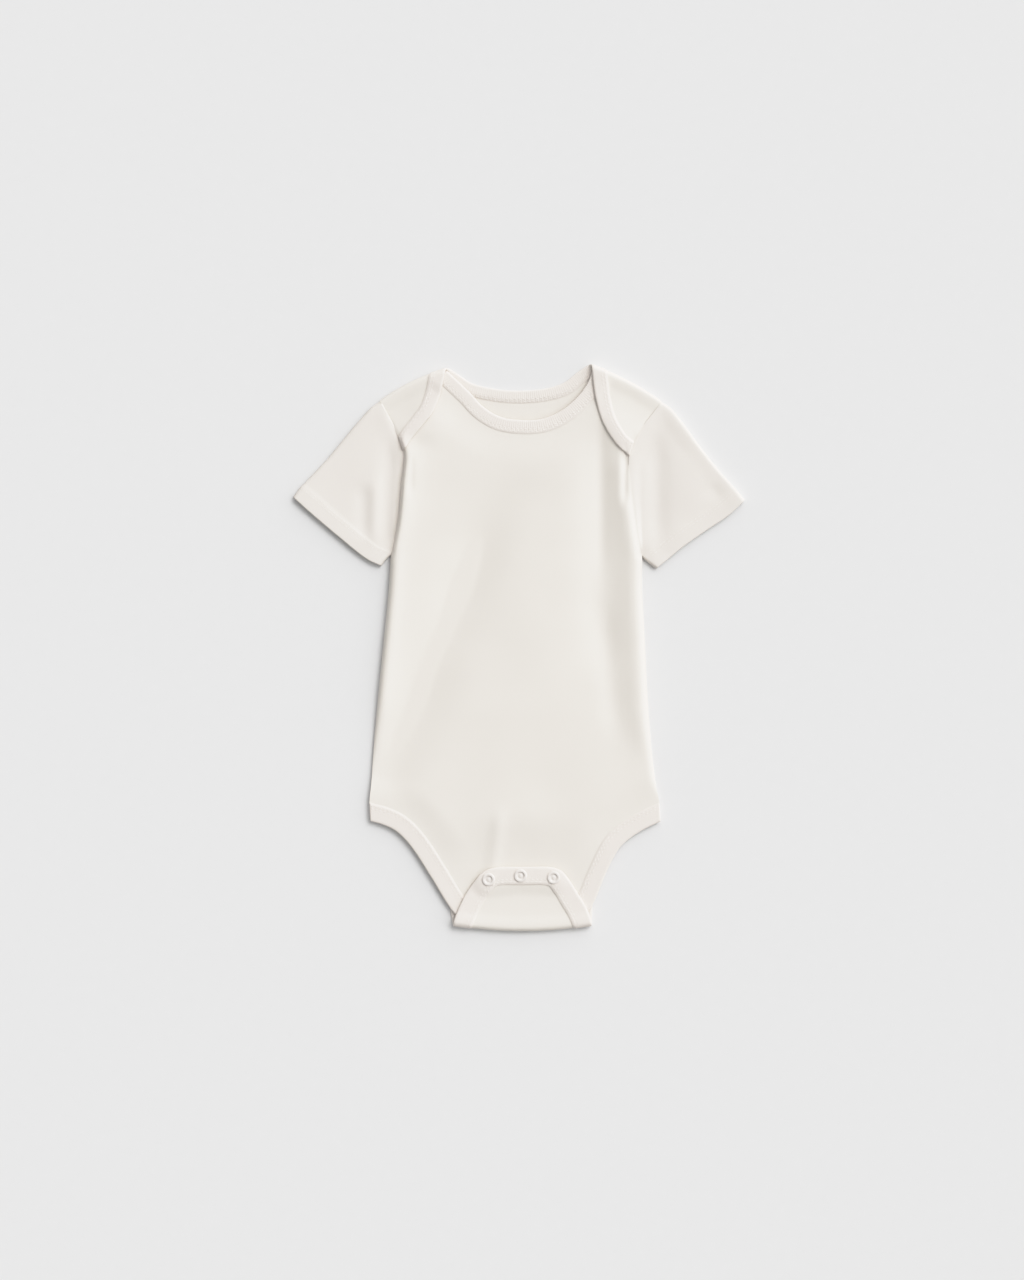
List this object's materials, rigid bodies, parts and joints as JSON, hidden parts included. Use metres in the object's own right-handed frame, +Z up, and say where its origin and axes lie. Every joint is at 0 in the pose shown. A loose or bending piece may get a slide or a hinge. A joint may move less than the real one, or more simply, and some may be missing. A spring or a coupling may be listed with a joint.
{
  "type": "baby bodysuit",
  "caption": "Short-sleeved baby bodysuit laid flat, with lap shoulders, ribbed neck and leg bindings and a snap crotch flap folded over the front.",
  "frame": {"origin": "middle of the garment's footprint, on the surface it lies on", "axes": "+X across the chest towards the wearer's left sleeve, +Y from the crotch up to the neck, +Z up off the surface, out of the front"},
  "size_m": [0.3252, 0.4079, 0.0092],
  "materials": {
    "cloth": "off-white cotton jersey, matte",
    "sleeve_cloth": "off-white cotton jersey, matte",
    "rib": "off-white ribbed cotton, matte",
    "snap": "white enamel, satin"
  },
  "bodies": {
    "root": {"back_panel": "cloth", "front_panel": "cloth", "sleeve_right": "sleeve_cloth", "sleeve_left": "sleeve_cloth", "neck_binding_front": "rib", "neck_binding_back": "rib", "leg_binding_front": "rib", "leg_binding_back": "rib", "snap_cap_1": "snap", "snap_stud_1": "snap", "snap_cap_2": "snap", "snap_stud_2": "snap", "snap_cap_3": "snap", "snap_stud_3": "snap"}
  },
  "joints": []
}
